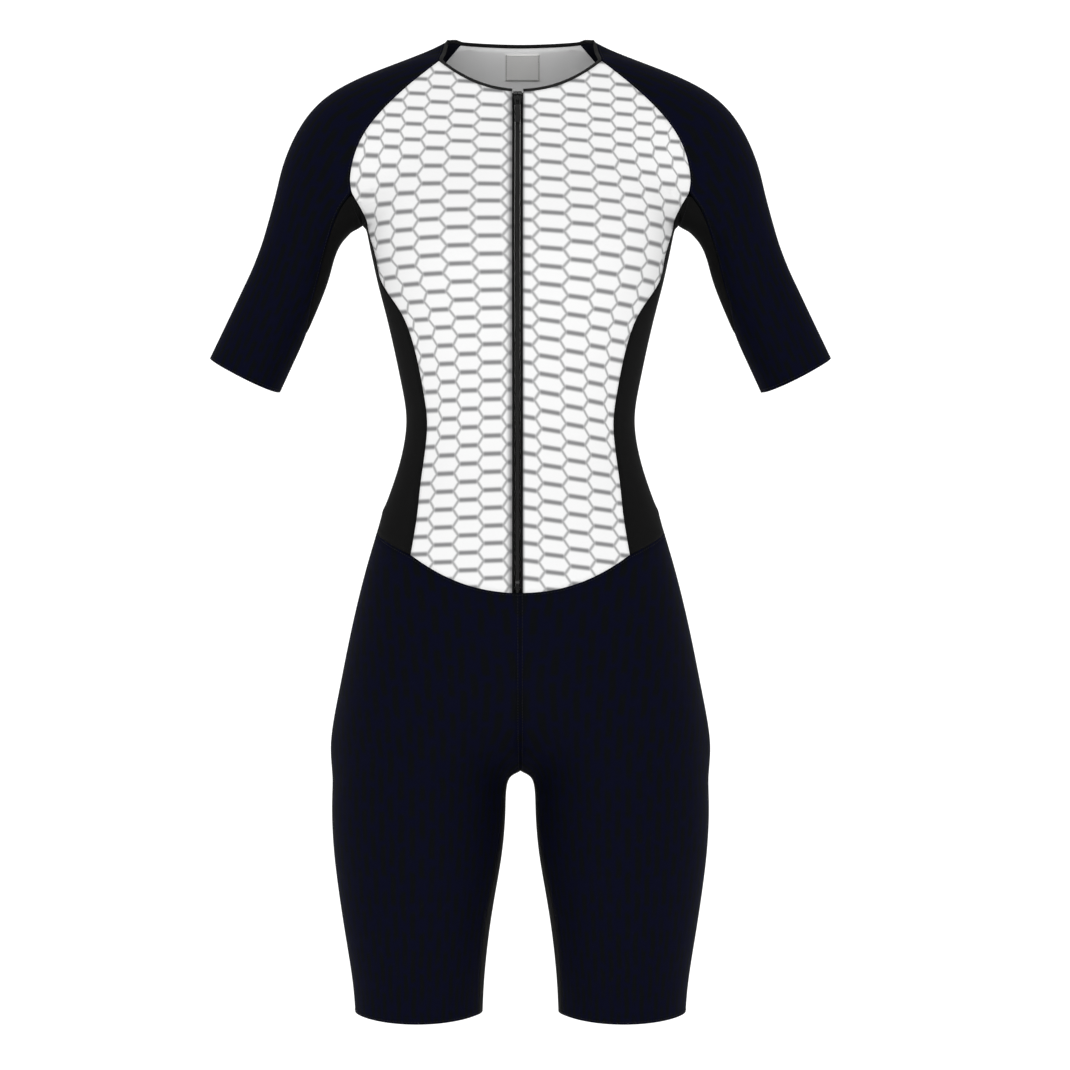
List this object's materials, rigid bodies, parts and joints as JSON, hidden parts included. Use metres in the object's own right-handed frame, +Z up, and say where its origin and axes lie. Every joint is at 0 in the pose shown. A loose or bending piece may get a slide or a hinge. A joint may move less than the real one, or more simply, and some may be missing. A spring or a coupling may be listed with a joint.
{
  "type": "triathlon suit",
  "caption": "Hollow one-piece triathlon suit with short raglan sleeves, a full front zip and short legs, held in its worn shape.",
  "frame": {"origin": "between the wearer's shoulders, 10 mm below the neck end of the shoulders, on the middle of the suit", "axes": "+Z up, -Y to the front, +X to the wearer's left"},
  "size_m": [0.609, 0.2325, 0.9587],
  "materials": {
    "white_knit": "white stretch knit with a grey honeycomb",
    "navy_knit": "matte navy stretch knit with fine black dashes",
    "black_knit": "black stretch knit with a soft sheen",
    "binding_knit": "black folded binding",
    "label_cloth": "blank pale label cloth",
    "zip_tape": "black woven tape",
    "zip_coil": "black nylon coil",
    "zip_metal": "black painted metal",
    "stop_metal": "dull grey metal"
  },
  "bodies": {
    "suit": {"front_left": "white_knit", "front_right": "white_knit", "back": "white_knit", "sleeve_left": "navy_knit", "sleeve_right": "navy_knit", "shorts_left": "navy_knit", "shorts_right": "navy_knit", "side_left": "black_knit", "side_right": "black_knit", "inner_leg_left": "black_knit", "inner_leg_right": "black_knit", "neck_binding": "binding_knit", "neck_label": "label_cloth", "zip_tape_left": "zip_tape", "zip_tape_right": "zip_tape", "zip_coil": "zip_coil", "zip_slider": "zip_metal", "zip_slider_bridge": "zip_metal", "zip_top_stop_left": "stop_metal", "zip_top_stop_right": "stop_metal", "zip_bottom_stop": "stop_metal"},
    "pull_tab": {"zip_pull_tab": "zip_metal"}
  },
  "joints": [
    {"name": "pull_tab_hinge", "type": "hinge", "parent": "suit", "child": "pull_tab", "pos_m": [-0.0025, -0.07134, -0.05533], "axis": [-1, 0, 0], "range_deg": [0, 150]}
  ]
}
